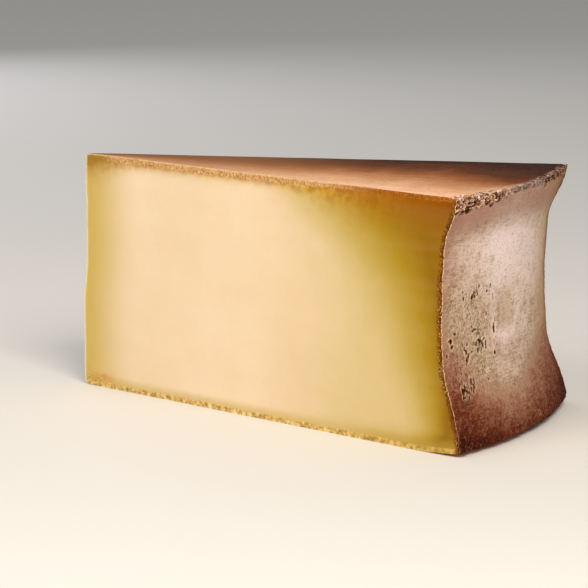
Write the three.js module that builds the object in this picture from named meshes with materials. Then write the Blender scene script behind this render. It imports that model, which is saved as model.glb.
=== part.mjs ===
// A wedge of hard pressed cheese, cut from a large round wheel as far as the wheel's centre.
//
// The wedge is one solid with five faces: a flat top and underside, two cut faces that meet in
// an upright edge at the wheel's centre, and the heel, which is the outside of the wheel and is
// hollowed by the hoop the cheese was pressed in. It starts as a box of small quads. Each point
// of that box has three shares, from 0 to 1: how far out it lies from the centre to the heel,
// how far across from the front cut to the back cut, and how far up. wedgePoint carries the
// shares to a place in the wedge, where the box's inner face shrinks to the upright edge.
// Lengths are millimetres and angles degrees. +X runs from the centre to the heel, and +Z is up.

import * as THREE from "three";
import { ImprovedNoise } from "three/addons/math/ImprovedNoise.js";
import { mergeVertices } from "three/addons/utils/BufferGeometryUtils.js";

const { degToRad, lerp, smoothstep } = THREE.MathUtils;

// Driving sizes of the wedge.
const HEIGHT = 140;
const WEDGE_ANGLE = 33.3;

// Section of the heel. A pair is the value at the front cut and the value at the back cut.
const WAIST_HEIGHT = 77;
const WAIST_RADIUS = [277, 274.6];
const UPPER_FLARE = [5, 6];
const LOWER_FLARE = [9, 9];
const TOP_LIP = { out: [4.8, 6], starts: [112, 110], ends: [136, 135] };
const FOOT_LIP = { out: [6, 6.2], starts: [52, 42], ends: [11, 10] };
const FOOT_ROUNDING = { height: 7, tuck: 2.2 };

// The underside curls up a little towards the heel, and at its corner by the wheel's centre.
const FOOT_CURL = { rise: [2.6, 4.6], width: 38 };
const CENTRE_CURL = { rise: 1.2, width: 12 };

// The upright edge leans: its foot stands out and its head stands in.
const EDGE_LEAN = { foot: -1, head: 0.9, starts: 50, ends: 78 };

// The top rim has crumbled into lumps, in a band that is tall and wide by the front cut only.
// The knife left the corner of the front cut clean, for the width of cleanCorner.
const CRUMBLE = {
  height: [8, 3.6],
  reach: [9, 3],
  fades: [0.25, 0.5],
  proud: 0.7,
  lumps: 1.5,
  gaps: 1.3,
  grain: 5,
  cleanCorner: 4,
};

// Pits in the heel's rind: distance along the heel from the front cut, height, width and depth.
const PITS = [
  { along: 52, height: 62, width: 8, depth: 2.2 },
  { along: 33, height: 84, width: 11, depth: 1.5 },
  { along: 47, height: 85, width: 9, depth: 1.2 },
  { along: 37, height: 55, width: 13, depth: 1.5 },
  { along: 21, height: 51, width: 9, depth: 1.3 },
  { along: 8, height: 60, width: 8, depth: 1.1 },
  { along: 14, height: 34, width: 16, depth: 1.4 },
  { along: 68, height: 29, width: 7, depth: 1 },
];

// Grid of the box: each stop is a share of the way, with the steps that lead up to it.
const OUT_STOPS = [
  [0.72, 4],
  [0.87, 3],
  [0.96, 4],
  [1, 4],
];
const UP_STOPS = [
  [0.09, 4],
  [0.68, 20],
  [0.82, 3],
  [0.94, 5],
  [1, 4],
];
const ACROSS_STOPS = [
  [0.45, 28],
  [1, 24],
];

const noise = new ImprovedNoise();

// Value part of the way from the first to the second of a pair.
function between(pair, share) {
  return lerp(pair[0], pair[1], share);
}

// Shares of a grid direction, spaced evenly up to each stop.
function sharesUpTo(stops) {
  const shares = [0];
  for (const [stop, steps] of stops) {
    const start = shares.at(-1);
    for (let step = 1; step <= steps; step += 1) {
      shares.push(lerp(start, stop, step / steps));
    }
  }
  return shares;
}

// Radius of the heel at a height: narrowest at the waist, flared by a square law above and
// below it, with a lip of its own at the top and at the foot.
function heelRadius(height, across) {
  const above = Math.max(0, height - WAIST_HEIGHT) / (HEIGHT - WAIST_HEIGHT);
  const below = Math.max(0, WAIST_HEIGHT - height) / WAIST_HEIGHT;
  const flare = between(UPPER_FLARE, across) * above ** 2 + between(LOWER_FLARE, across) * below ** 2;
  const topLip = smoothstep(height, between(TOP_LIP.starts, across), between(TOP_LIP.ends, across));
  const footLip = 1 - smoothstep(height, between(FOOT_LIP.ends, across), between(FOOT_LIP.starts, across));
  const lips = between(TOP_LIP.out, across) * topLip + between(FOOT_LIP.out, across) * footLip;
  const underEdge = Math.max(0, 1 - height / FOOT_ROUNDING.height);
  return between(WAIST_RADIUS, across) + flare + lips - FOOT_ROUNDING.tuck * underEdge ** 2;
}

// Height of the underside above the ground it lies on.
function undersideHeight(radius, across) {
  const inset = heelRadius(FOOT_ROUNDING.height, across) - radius;
  const heelShare = Math.max(0, 1 - inset / FOOT_CURL.width);
  const centreShare = Math.max(0, 1 - radius / CENTRE_CURL.width);
  return between(FOOT_CURL.rise, across) * heelShare ** 2 + CENTRE_CURL.rise * centreShare ** 2;
}

// How strongly the rim has crumbled at a place, from 0 to 1.
function crumbleStrength(inset, drop, across) {
  const fade = smoothstep(across, CRUMBLE.fades[0], CRUMBLE.fades[1]);
  const reach = between(CRUMBLE.reach, fade);
  const height = between(CRUMBLE.height, fade);
  const onTop = 1 - smoothstep(inset, reach * 0.6, reach);
  const onHeel = 1 - smoothstep(drop, height * 0.75, height);
  return onTop * onHeel * lerp(1, 0.6, fade);
}

// How far the heel's rind stands out: lumps and gaps at the rim, and the pits lower down.
function heelRelief(along, height, across) {
  const drop = HEIGHT - height;
  const lump = noise.noise(along / CRUMBLE.grain, height / CRUMBLE.grain, 0.5);
  const strength = crumbleStrength(0, drop, across) * smoothstep(along, 0, CRUMBLE.cleanCorner);
  const fade = smoothstep(across, CRUMBLE.fades[0], CRUMBLE.fades[1]);
  const lowerEdge = (drop - between(CRUMBLE.height, fade)) / 1.5;
  const gap = CRUMBLE.gaps * Math.exp(-(lowerEdge ** 2)) * (1 - fade) * smoothstep(lump, -0.2, 0.3);
  let relief = strength * (CRUMBLE.proud + CRUMBLE.lumps * lump) - gap;
  for (const pit of PITS) {
    const away = Math.hypot(along - pit.along, height - pit.height) / (pit.width / 2);
    relief -= pit.depth * Math.exp(-(away ** 2));
  }
  return relief;
}

// How far the crumbled rim stands above the level top.
function topRelief(radius, inset, along, across) {
  const lump = noise.noise(along / CRUMBLE.grain, radius / CRUMBLE.grain, 7.5);
  return crumbleStrength(inset, 0, across) * CRUMBLE.lumps * (lump - 0.25);
}

// Place in the wedge of a point of the box, with the wheel's centre as the origin.
function wedgePoint(out, across, up) {
  const nominalRadius = out * heelRadius(up * HEIGHT, across);
  const floor = undersideHeight(nominalRadius, across);
  let height = lerp(floor, HEIGHT, up);
  const rim = heelRadius(height, across);
  let radius = out * rim;
  const along = across * degToRad(WEDGE_ANGLE) * rim;
  if (out === 1) radius += heelRelief(along, height, across);
  if (up === 1) height += topRelief(radius, rim - radius, along, across);
  const angle = degToRad(WEDGE_ANGLE) * (across - 0.5);
  const lean = lerp(EDGE_LEAN.foot, EDGE_LEAN.head, smoothstep(height, EDGE_LEAN.starts, EDGE_LEAN.ends));
  const x = radius * Math.cos(angle) + lean * (1 - out);
  return new THREE.Vector3(x, radius * Math.sin(angle), height);
}

// Leaves out the triangles that shrank to a line where the box's inner face became an edge.
function withoutFlatTriangles(geometry) {
  const corners = geometry.getIndex().array;
  const kept = [];
  for (let i = 0; i < corners.length; i += 3) {
    const [a, b, c] = corners.slice(i, i + 3);
    if (a !== b && b !== c && c !== a) kept.push(a, b, c);
  }
  geometry.setIndex(kept);
  return geometry;
}

// Carries a box of unit size, and of the grid's number of quads, to the shape of the wedge.
function wedgeGeometry() {
  const outShares = sharesUpTo(OUT_STOPS);
  const acrossShares = sharesUpTo(ACROSS_STOPS);
  const upShares = sharesUpTo(UP_STOPS);
  const steps = [outShares, acrossShares, upShares].map((shares) => shares.length - 1);
  const box = new THREE.BoxGeometry(1, 1, 1, ...steps);
  box.deleteAttribute("normal");
  box.deleteAttribute("uv");
  const places = box.getAttribute("position");
  for (let i = 0; i < places.count; i += 1) {
    const out = outShares[Math.round((places.getX(i) + 0.5) * steps[0])];
    const across = acrossShares[Math.round((places.getY(i) + 0.5) * steps[1])];
    const up = upShares[Math.round((places.getZ(i) + 0.5) * steps[2])];
    places.setXYZ(i, ...wedgePoint(out, across, up));
  }
  const wedge = withoutFlatTriangles(mergeVertices(box, 1e-3));
  wedge.computeVertexNormals();
  return wedge;
}

// Moves the wedge so that the origin is under the middle of the box that just holds it.
function standOnOrigin(geometry) {
  geometry.computeBoundingBox();
  const middle = geometry.boundingBox.getCenter(new THREE.Vector3());
  return geometry.translate(-middle.x, -middle.y, -geometry.boundingBox.min.z);
}

const paste = new THREE.MeshStandardMaterial({ color: "#f1d9a3", roughness: 0.5, metalness: 0 });
const wedge = new THREE.Mesh(standOnOrigin(wedgeGeometry()), paste);
wedge.name = "cheese_wedge";

const group = new THREE.Group();
group.add(wedge);

export default group;
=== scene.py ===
# %% [markdown]
# A wedge of pressed mountain cheese, dressed over its plain solid.
# The solid is the true size and stands in its place. These steps give it its looks: a fine
# skin with the rind's pits and its crumbled rim, the crumbs themselves, and the paste and rind.
# Loading comes first, because every later size is worked out from the box the solid fills.

# %% Load the plain solid and keep its box
import math

import bpy
import numpy as np
from mathutils import Euler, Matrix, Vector


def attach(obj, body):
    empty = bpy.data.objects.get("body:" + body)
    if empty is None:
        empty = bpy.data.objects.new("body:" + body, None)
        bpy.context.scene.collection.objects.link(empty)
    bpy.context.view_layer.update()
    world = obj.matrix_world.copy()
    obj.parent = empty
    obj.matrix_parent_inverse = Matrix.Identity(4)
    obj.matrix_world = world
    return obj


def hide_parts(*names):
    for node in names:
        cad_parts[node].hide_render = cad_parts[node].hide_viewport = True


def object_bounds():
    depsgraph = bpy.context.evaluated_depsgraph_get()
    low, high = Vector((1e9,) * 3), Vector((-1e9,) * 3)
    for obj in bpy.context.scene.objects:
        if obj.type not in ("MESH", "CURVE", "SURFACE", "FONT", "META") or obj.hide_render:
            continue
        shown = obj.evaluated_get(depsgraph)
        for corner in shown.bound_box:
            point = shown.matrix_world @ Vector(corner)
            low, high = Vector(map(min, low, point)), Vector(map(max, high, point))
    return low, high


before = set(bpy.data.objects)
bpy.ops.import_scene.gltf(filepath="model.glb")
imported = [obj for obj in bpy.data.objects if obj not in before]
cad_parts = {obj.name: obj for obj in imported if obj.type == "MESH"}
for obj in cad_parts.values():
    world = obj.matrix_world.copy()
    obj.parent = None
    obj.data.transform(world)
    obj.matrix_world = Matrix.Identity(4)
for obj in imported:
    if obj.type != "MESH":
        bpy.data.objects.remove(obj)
solid_low, solid_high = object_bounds()
MM = 0.001
print("solid", [round(side / MM, 1) for side in solid_high - solid_low], "mm")

# %% [markdown]
# The wheel was pressed inside a wooden hoop with a rounded inner face, which is why the heel
# is hollow. Its section is a waist that flares out by a square law above and below, with a
# lip of its own at the top and at the foot. The wheel sat a little crooked in its hoop, so
# each size is a pair: its value at the front cut, and its value at the back cut.

# %% Name the wedge's driving sizes, in millimetres
HEIGHT = 140
TOP_EDGE = 290
WEDGE_ANGLE = math.radians(33.3)
WAIST_HEIGHT = 77
WAIST_RADIUS = (277, 274.6)
UPPER_FLARE = (5, 6)
LOWER_FLARE = (9, 9)
TOP_LIP = {"out": (4.8, 6), "starts": (112, 110), "ends": (136, 135)}
FOOT_LIP = {"out": (6, 6.2), "starts": (52, 42), "ends": (11, 10)}
FOOT_ROUNDING = {"height": 7, "tuck": 2.2}
FOOT_CURL = {"rise": (2.6, 4.6), "width": 38}
CENTRE_CURL = {"rise": 1.2, "width": 12}
EDGE_LEAN = {"foot": -1, "head": 0.9, "starts": 50, "ends": 78}


def between(pair, share):
    """The value part of the way from the first to the second of a pair."""
    return pair[0] + (pair[1] - pair[0]) * share


def smooth(value, start, end):
    """0 before start and 1 after end, with the curve 3t^2 - 2t^3 between them."""
    t = np.clip((value - start) / (end - start), 0, 1)
    return t * t * (3 - 2 * t)


def heel_radius(height, across):
    """Radius of the heel: the waist, plus flares that grow with the square of the distance
    from the waist, plus a smooth lip at the top and one at the foot, less a rounded under edge."""
    above = np.maximum(0, height - WAIST_HEIGHT) / (HEIGHT - WAIST_HEIGHT)
    below = np.maximum(0, WAIST_HEIGHT - height) / WAIST_HEIGHT
    flare = between(UPPER_FLARE, across) * above**2 + between(LOWER_FLARE, across) * below**2
    top = smooth(height, between(TOP_LIP["starts"], across), between(TOP_LIP["ends"], across))
    foot = 1 - smooth(height, between(FOOT_LIP["ends"], across), between(FOOT_LIP["starts"], across))
    lips = between(TOP_LIP["out"], across) * top + between(FOOT_LIP["out"], across) * foot
    under = np.maximum(0, 1 - height / FOOT_ROUNDING["height"])
    return between(WAIST_RADIUS, across) + flare + lips - FOOT_ROUNDING["tuck"] * under**2


def underside_height(radius, across):
    """Height of the underside: level, but curled up by a square law near the heel and, a
    little, at its corner by the wheel's centre."""
    inset = heel_radius(FOOT_ROUNDING["height"], across) - radius
    by_heel = np.maximum(0, 1 - inset / FOOT_CURL["width"])
    by_centre = np.maximum(0, 1 - radius / CENTRE_CURL["width"])
    return between(FOOT_CURL["rise"], across) * by_heel**2 + CENTRE_CURL["rise"] * by_centre**2


widest = [heel_radius(np.linspace(0, HEIGHT, 281), side).max() for side in (0, 1)]
centre_x = solid_low.x / MM - EDGE_LEAN["foot"]
centre_y = (widest[0] - widest[1]) / 2 * math.sin(WEDGE_ANGLE / 2)
print("widest radii", np.round(widest, 1), "mm, wheel's centre at", round(centre_x, 2), round(centre_y, 2))

# %% [markdown]
# The camera stands 1.7 m away, to the right of the front cut and a little above the top. The
# long lens keeps the upright edges upright. All its numbers are real distances from the
# wheel's centre, so the view is worked out from the cheese and not from the picture's frame.

# %% Set up the camera
CAMERA_PLACE = (842.2, -1442.9, 343.8)
CAMERA_TURN = 25.985
CAMERA_PITCH = 9.83
CAMERA_ROLL = 0.17
LENS = 172.6
SENSOR = 36

camera = bpy.data.objects.new("camera", bpy.data.cameras.new("camera"))
bpy.context.scene.collection.objects.link(camera)
bpy.context.scene.camera = camera
camera.data.lens = LENS
camera.data.sensor_width = SENSOR
camera.location = [(place + shift) * MM for place, shift in zip(CAMERA_PLACE, (centre_x, centre_y, 0))]
turn = Euler((math.radians(90 - CAMERA_PITCH), 0, math.radians(CAMERA_TURN)), "XYZ").to_matrix()
roll = Euler((0, 0, math.radians(CAMERA_ROLL)), "XYZ").to_matrix()
camera.rotation_euler = (turn @ roll).to_euler()
print("camera at", [round(c, 3) for c in camera.location])

# %% [markdown]
# Rind and crumbs are uneven at many sizes at once, so the relief needs noise. Blender's own
# textures only reach the shader, and this relief has to be in the mesh. So the noise is
# worked out here, for whole arrays of places: a lattice of cubes has a random value at each
# corner, and a place takes a smooth mixture of the eight corners around it.

# %% Noise for whole arrays of places
def points(*axes):
    """An (n, 3) array of places from an array or a number for each of the three axes."""
    return np.stack(np.broadcast_arrays(*axes), axis=1)


def noise(places, grain, seed):
    """Smooth noise from -1 to 1. places is an (n, 3) array in mm and grain the lattice's step.
    A corner's value comes from mixing up its whole-number address, so it is the same each run."""
    spots = np.asarray(places, float) / grain
    cell = np.floor(spots).astype(np.int64)
    t = spots - cell
    t = t**3 * (t * (6 * t - 15) + 10)
    total = np.zeros(len(spots))
    for corner in np.ndindex(2, 2, 2):
        address = cell + np.array(corner)
        mixed = address @ np.array([73856093, 19349663, 83492791]) + seed * 60493
        mixed = (mixed ^ (mixed >> 13)) * 1274126177 & 0xFFFFFFFF
        mixed = (mixed ^ (mixed >> 15)) * 668265263 & 0xFFFFFFFF
        value = (mixed >> 8 & 0xFFFF) / 32767.5 - 1
        weight = np.where(np.array(corner) == 1, t, 1 - t).prod(axis=1)
        total += value * weight
    return total


def rough(places, grain, seed):
    """Noise with detail: three layers, each half as coarse and half as strong as the last."""
    layers = [noise(places, grain / 2**k, seed + k) / 2**k for k in range(3)]
    return sum(layers) / 1.75


sample = rough(np.random.default_rng(1).uniform(0, 100, (1000, 3)), 5, 1)
print("noise from", round(sample.min(), 2), "to", round(sample.max(), 2))

# %% [markdown]
# Turning and brushing in the cellar knocked the top rim, and near the front cut it has
# crumbled into a band of worm-like lumps of curd 8 mm tall. Further back only a thin, greyer
# ridge is left. The band's size is a profile along the rim: each pair is a distance from the
# front cut and the value there. Mites and brushing also opened small pits in the heel. Some
# stand alone and have a place each. The rest come in clusters, so a cluster has a place, a
# spread and a number, and a seeded draw puts its pits around the middle.

# %% Name the crumbled rim and the pits, in millimetres
# How far the crumbled band reaches down the heel and in over the top, and how crumbled it is.
RIM_HEIGHT = [
    (0, 8.6), (8, 8.4), (20, 6.4), (28, 5.6), (35, 6.6), (43, 4.2), (60, 3.2), (95, 3), (161, 3.6),
]
RIM_REACH = [(0, 6), (6, 8), (30, 7), (45, 4), (90, 2.6), (104, 6), (150, 5.5), (161, 3.5)]
RIM_STRENGTH = [
    (0, 0.85), (2, 1), (36, 1), (44, 0.5), (52, 0.42), (92, 0.42), (102, 0.7), (150, 0.7), (161, 0.4),
]
# How far the crumbled band stands out, the size and height of its lumps, and how deep its gaps are.
RIM_PROUD = 0.5
RIM_LUMP = 2.5
LUMP_HEIGHT = 1.5
GAP_DEPTH = 1.8
# Noises that the relief and the colours share: seeds of the lumps, and grain and seed of the
# band's ragged borders.
HEEL_LUMPS = 32
TOP_LUMPS = 42
RAGGED_HEEL = (3.2, 31)
RAGGED_TOP = (3.1, 41)
# Heights of the slow waves of the heel and of the top, and how much is missing at the centre.
HEEL_WAVES = 0.28
TOP_WAVES = 0.22
CENTRE_CHIP = 0.9
# The heel and the top each take their relief from one flat layer of the noise.
HEEL_LAYER = 0
TOP_LAYER = 40
# The scaly patch: where it starts and ends, each as a soft border.
WORN = {"along": ((-4, 10), (30, 68)), "up": ((22, 40), (78, 106))}
# The deep gaps under the lumps: along, height, half width.
RIM_GAPS = [
    (1.6, 131.4, 1.6), (7, 131.6, 2.2), (11.5, 132.2, 3.0), (33.5, 133.6, 2.0), (27, 135.2, 1.4),
    (58, 137.0, 0.9), (68, 138.2, 1.5), (72, 137.4, 1.1), (81, 138.4, 1.0), (95, 138.0, 1.0),
    (103, 135.6, 1.8), (112, 137.0, 1.2), (121, 136.4, 1.3), (129, 137.4, 1.2), (138, 136.6, 1.3),
    (147, 137.2, 1.2),
]
FOOT_LEDGE = {"height": 6.2, "width": 0.9, "depth": 0.8, "until": (40, 72)}

# Pits that stand out alone: along the heel from the front cut, height, width, length, darkness.
LONE_PITS = [
    (51.4, 62, 2.3, 5.4, 1), (52.6, 66, 1.0, 3.6, 0.6), (55.5, 61.5, 1.7, 1.7, 0.35),
    (7.3, 61.2, 2.3, 2.3, 1), (8.2, 58, 2.1, 1.9, 0.9), (11.2, 64.5, 2.1, 1.1, 0.8),
    (3.6, 53.7, 1.2, 2.3, 0.7), (47, 86.3, 1.2, 2.0, 0.9), (43.3, 84, 1.8, 1.6, 0.8),
    (50.3, 79.6, 1.9, 3.8, 0.4), (42.5, 71.5, 1.5, 2.7, 0.9), (46, 64.2, 1.0, 2.3, 0.6),
    (51.2, 54.4, 1.2, 3.6, 0.85), (51.6, 48.6, 2.4, 2.2, 1), (27.6, 82.4, 2.7, 2.2, 1),
    (30.7, 82.3, 1.4, 2.4, 0.9), (33.2, 83.2, 1.1, 1.6, 0.9), (31.8, 87.6, 1.3, 1.6, 0.85),
    (34.4, 87.4, 1.5, 1.8, 0.85), (19, 82.6, 1.3, 2.0, 1), (12.2, 82.2, 1.2, 1.5, 0.5),
    (18.6, 86.4, 2.0, 1.0, 0.45), (22.3, 57.2, 1.5, 1.7, 0.8), (29.4, 56.2, 1.0, 1.7, 0.7),
    (27.2, 66, 1.3, 1.3, 0.8), (29.8, 64.6, 1.3, 2.0, 0.9), (19.8, 55, 1.4, 2.4, 0.9),
    (21.2, 53, 1.8, 2.6, 1), (23.2, 51, 1.6, 2.4, 0.85), (21.8, 48.8, 1.7, 2.8, 0.9),
    (21, 46.4, 1.4, 1.8, 0.6), (41.6, 54.6, 1.4, 5.0, 0.9), (39.6, 58, 1.9, 1.4, 0.9),
    (36, 58.8, 1.2, 1.6, 0.8), (33.4, 52.6, 2.2, 2.6, 0.7), (36.6, 51.2, 1.9, 2.0, 0.7),
    (37.6, 56, 1.2, 3.0, 0.75), (40, 46, 1.2, 1.8, 0.5), (39.4, 36.4, 1.5, 1.4, 0.6),
    (15.2, 42.8, 1.6, 1.2, 0.5), (12.4, 33.6, 1.6, 3.2, 1), (15.4, 35.6, 1.4, 2.6, 0.8),
    (22.4, 37.4, 2.2, 3.2, 0.7), (24, 34.4, 1.8, 3.0, 0.7), (69, 78, 1.3, 1.3, 0.35),
    (78, 72.4, 1.3, 3.8, 0.4), (63, 74, 1.2, 1.2, 0.3), (68, 28.8, 1.9, 1.1, 0.6),
    (92, 9, 2.0, 1.6, 0.8),
]
# Clusters: along, height, spread along and up, number of pits, width, darkness.
PIT_CLUSTERS = [
    (31, 84, 4, 3.5, 18, 1.0, 0.8), (36, 55, 5, 5, 30, 1.1, 0.85), (30, 64, 5, 3, 18, 1.0, 0.8),
    (17, 96, 3, 2, 9, 0.9, 0.35), (14, 34, 5, 4, 26, 1.1, 0.8), (23, 36, 3, 4, 14, 1.1, 0.6),
    (20, 80, 8, 7, 26, 0.85, 0.55), (28, 66, 18, 22, 110, 0.8, 0.5), (27, 112, 11, 8, 40, 0.75, 0.35),
    (34, 42, 9, 8, 26, 0.8, 0.4), (60, 92, 16, 10, 16, 0.8, 0.25), (95, 45, 40, 22, 26, 0.9, 0.3),
]
# A pit's depth in its widths, and the width in mm past which it gets no deeper.
PIT_STEEPNESS = 0.55
WIDE_PIT = 2


def draw_pits(seed):
    """One row per pit, as (along, height, width, length, darkness): the lone pits, then those
    of the clusters, each placed about its cluster's middle by a normal draw."""
    draw = np.random.default_rng(seed)
    rows = [np.array(LONE_PITS, float)]
    for along, height, spread_along, spread_up, number, size, darkness in PIT_CLUSTERS:
        width = size * draw.uniform(0.6, 1.3, number)
        place_along = along + spread_along * draw.normal(0, 0.6, number)
        place_up = height + spread_up * draw.normal(0, 0.6, number)
        length = width * draw.uniform(0.9, 2.1, number)
        dark_and_shade = darkness * draw.uniform(0.5, 1.2, number)
        rows.append(np.stack([place_along, place_up, width, length, dark_and_shade], axis=1))
    return np.concatenate(rows)


def profile(stops, along):
    """Straight lines between the stops, each a place along the rim and the value there."""
    return np.interp(along, *zip(*stops))


pits = draw_pits(seed=11)
print(len(pits), "pits")

# %% [markdown]
# Relief is one number for each place of the heel or of the top: how far it stands out there.
# A pit is a hollow whose outline is bent by noise, with a faint raised lip and a pale rim, which
# is a painted highlight. It is kept shallow, and the darkness in its mouth is colour: its dark
# contents and painted shade of its depth, because the camera looks along the heel and would only
# see a deep one's bright far wall. The lumps of the rim are ridges along the lines where a noise
# crosses zero, since those lines wander like worms. All of it fades out within 10 mm of the heel
# and 5 mm of the top.

# %% Relief of the heel and of the top
def crumble_share(inset, drop, along):
    """How far the rim has crumbled at a place, from 0 to 1, inset mm from the heel and drop mm
    under the top: 1 inside the band, falling off over the last part of its reach and height."""
    reach = profile(RIM_REACH, along)
    height = profile(RIM_HEIGHT, along)
    on_top = 1 - smooth(inset, reach * 0.7, reach)
    on_heel = 1 - smooth(drop, height * 0.85, height * 1.1)
    return on_top * on_heel * profile(RIM_STRENGTH, along)


def worms(flat, seed):
    """Worm-like ridges from 0 in the gaps to 1 on the crests: 1 - 2.6 |n|, where n is a noise,
    so the crests follow the lines along which the noise is zero."""
    coarse = 1 - 2.6 * np.abs(noise(flat, RIM_LUMP, seed))
    small = 1 - 2.6 * np.abs(noise(flat, RIM_LUMP * 0.55, seed + 1))
    return np.clip(0.62 * coarse + 0.38 * small, -0.3, 1)


def pit_fields(along, height):
    """Depth in mm, and darkness and paleness from 0 to 1, of the pits at each place. The darkness
    is the pits' dark contents and painted shade of their depth, and the paleness is a painted
    highlight on their rims. d is the distance from a pit's middle in its half-widths, bent by
    noise. Depth falls off as exp(-d^4), darkness fills the mouth and stops sharply at its edge,
    and the rim is pale."""
    flat = points(along, height, HEEL_LAYER)
    bend_along = 0.4 * noise(flat, 1.7, 21)
    bend_up = 0.5 * noise(flat, 1.7, 22)
    depth, lips, dark_and_shade, rim_highlight = np.zeros((4, len(along)))
    for pit_along, pit_height, width, length, darkness in pits:
        beside = np.abs(along - pit_along) < 2 * width + 1
        near = np.flatnonzero(beside & (np.abs(height - pit_height) < 2 * length + 1))
        away_along = (along[near] + bend_along[near] - pit_along) / (width / 2)
        away_up = (height[near] + bend_up[near] - pit_height) / (length / 2)
        away = np.sqrt(away_along**2 + away_up**2)
        deep = PIT_STEEPNESS * min(width, WIDE_PIT) * (0.4 + 0.6 * min(darkness, 1))
        depth[near] = np.maximum(depth[near], deep * np.exp(-(away**4)))
        lips[near] = np.maximum(lips[near], 0.2 * deep * np.exp(-((away - 1.6) ** 2) / 0.12))
        dark_and_shade[near] = np.maximum(dark_and_shade[near], darkness * (1 - smooth(away, 0.85, 1.3)))
        edge_away = away - 1.7 + 0.25 * np.sign(away_along)
        rim_highlight[near] = np.maximum(rim_highlight[near], darkness * np.exp(-(edge_away**2) / 0.14))
    return depth - lips * (depth < 0.1), dark_and_shade, rim_highlight * (1 - np.minimum(1, dark_and_shade))


def rim_gaps(along, height):
    """Depth in mm of the deep gaps under the rim's lumps, each falling off as exp(-d^4)."""
    flat = points(along, height, HEEL_LAYER)
    along = along + 0.9 * noise(flat, 2.2, 23)
    height = height + 0.9 * noise(flat, 2.2, 24)
    total = np.zeros(len(along))
    for gap_along, gap_height, half in RIM_GAPS:
        away = ((along - gap_along) / half) ** 2 + ((height - gap_height) / (0.6 * half)) ** 2
        total = np.maximum(total, np.exp(-(away**2)))
    return total


def heel_relief(along, height):
    """How far the heel stands out, in mm: slow waves of the hoop's cloth, pits, the crumbled
    rim's lumps with the gaps under them, and the ledge pressed just above the foot's edge."""
    flat = points(along, height, HEEL_LAYER)
    ragged = HEIGHT - height + 1.3 * noise(flat, *RAGGED_HEEL)
    share = crumble_share(np.zeros_like(ragged), ragged, along)
    clean_corner = smooth(along, -0.5, 0.6)
    relief = share * (RIM_PROUD + LUMP_HEIGHT * (worms(flat, HEEL_LUMPS) - 0.45)) * clean_corner
    relief -= GAP_DEPTH * rim_gaps(along, height)
    relief += HEEL_WAVES * rough(flat, 14, 35) + 0.07 * rough(flat * [0.35, 1, 1], 1.8, 36)
    relief += 0.1 * rough(flat, 1.8, 40) * worn_share(along, height)
    relief -= pit_fields(along, height)[0]
    ledge_height = FOOT_LEDGE["height"] + noise(flat, 9, 37)
    ledge = np.exp(-(((height - ledge_height) / FOOT_LEDGE["width"]) ** 2))
    ledge = ledge * smooth(noise(flat, 6, 38), -0.5, 0.1)
    relief -= FOOT_LEDGE["depth"] * ledge * (1 - smooth(along, *FOOT_LEDGE["until"]))
    relief += 0.8 * rough(flat, 3, 39) * (1 - smooth(height, 3, 9))
    corners = 0.35 * (1 - smooth(along, 0, 1.8)) + 0.15 * smooth(along, 156, 159)
    relief += corners * noise(flat, 1.6, 45)
    return relief


def top_relief(radius, inset, along):
    """How far the top stands up, in mm: a gently uneven rind, the crumbled rim's lumps, and the
    corner by the wheel's centre, where a little is missing."""
    flat = points(along, radius, TOP_LAYER)
    share = crumble_share(inset + 1.4 * noise(flat, *RAGGED_TOP), np.zeros_like(inset), along)
    lumps = worms(flat, TOP_LUMPS) - 0.7
    wide = TOP_WAVES * rough(flat, 26, 43) + 0.05 * rough(flat, 2.5, 44)
    chip = CENTRE_CHIP * np.maximum(0, 1 - radius / 5) ** 2
    return share * lumps + wide - chip


def worn_share(along, height):
    """Where the rind near the front cut is scaly, from 0 to 1."""
    starts, ends = WORN["along"]
    across_it = smooth(along, *starts) * (1 - smooth(along, *ends))
    starts, ends = WORN["up"]
    return across_it * smooth(height, *starts) * (1 - smooth(height, *ends))


depth, _, _ = pit_fields(np.array([51.4]), np.array([62.0]))
print("the largest pit is", np.round(depth, 1), "mm deep")

# %% [markdown]
# The skin is worked out like the solid, as a box whose points have three shares from 0 to 1:
# out from the centre to the heel, across from the front cut to the back cut, and up. Its lines
# lie closest together where there is most to show, at the pits, the rim and the heel's edges.
# One function carries the shares to millimetres and also gives fields, such as the depth
# under the rind, that the materials read as attributes.

# %% Places of the grid's lines
def lines(*stops):
    """Shares from 0 to 1 for a grid direction. Each stop is (mm reached, spacing in mm)."""
    marks = [0.0]
    for stop, spacing in stops:
        steps = max(1, round((stop - marks[-1]) / spacing))
        marks.extend(np.linspace(marks[-1], stop, steps + 1)[1:])
    return np.array(marks) / marks[-1]


OUT_LINES = lines((6, 2), (60, 11), (240, 15), (266, 4.5), (276, 1.4), (284, 0.8), (287, 0.43))
ACROSS_LINES = lines((60, 0.5), (161, 1.0))
UP_LINES = lines((10, 0.8), (28, 1.5), (96, 0.5), (128, 1.6), (140, 0.55))
print("grid", len(OUT_LINES), "out,", len(ACROSS_LINES), "across,", len(UP_LINES), "up")


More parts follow.
